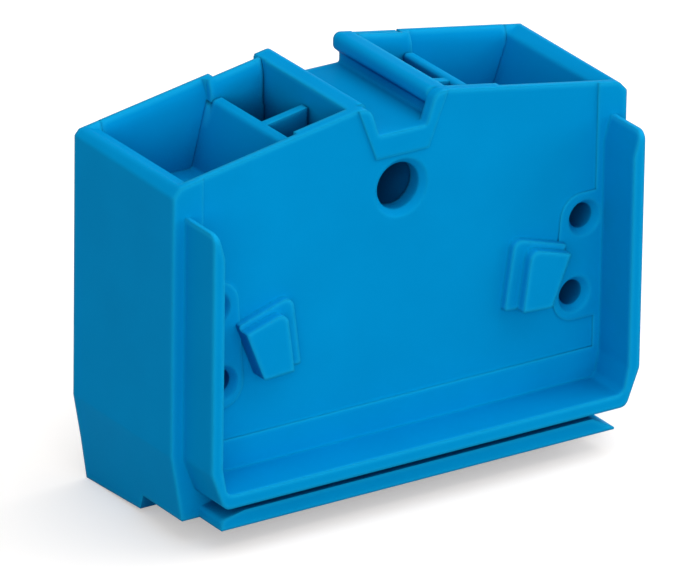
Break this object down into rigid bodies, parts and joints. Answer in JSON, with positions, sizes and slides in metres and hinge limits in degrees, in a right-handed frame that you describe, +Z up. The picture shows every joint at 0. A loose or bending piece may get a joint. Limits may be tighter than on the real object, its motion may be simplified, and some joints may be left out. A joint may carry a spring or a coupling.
{
  "type": "terminal block",
  "caption": "Spring clamp terminal block with wire funnels, tool slots, a front skirt that nests into the next block, pegs and a tag channel along its roof.",
  "frame": {"origin": "middle of the box round the part, at the level of the feet", "axes": "+X along the length to the right, +Y from the skirted front to the back, +Z up"},
  "size_m": [0.028, 0.0134, 0.0219],
  "materials": {
    "blue_plastic": "fine moulded satin",
    "tinned_copper": "tin plated",
    "spring_steel": "rolled strip"
  },
  "bodies": {
    "root": {"housing": "blue_plastic", "back_cover": "blue_plastic", "current_bar": "tinned_copper", "clamp_front_left": "spring_steel", "clamp_front_right": "spring_steel", "clamp_back_left": "spring_steel", "clamp_back_right": "spring_steel"}
  },
  "joints": []
}
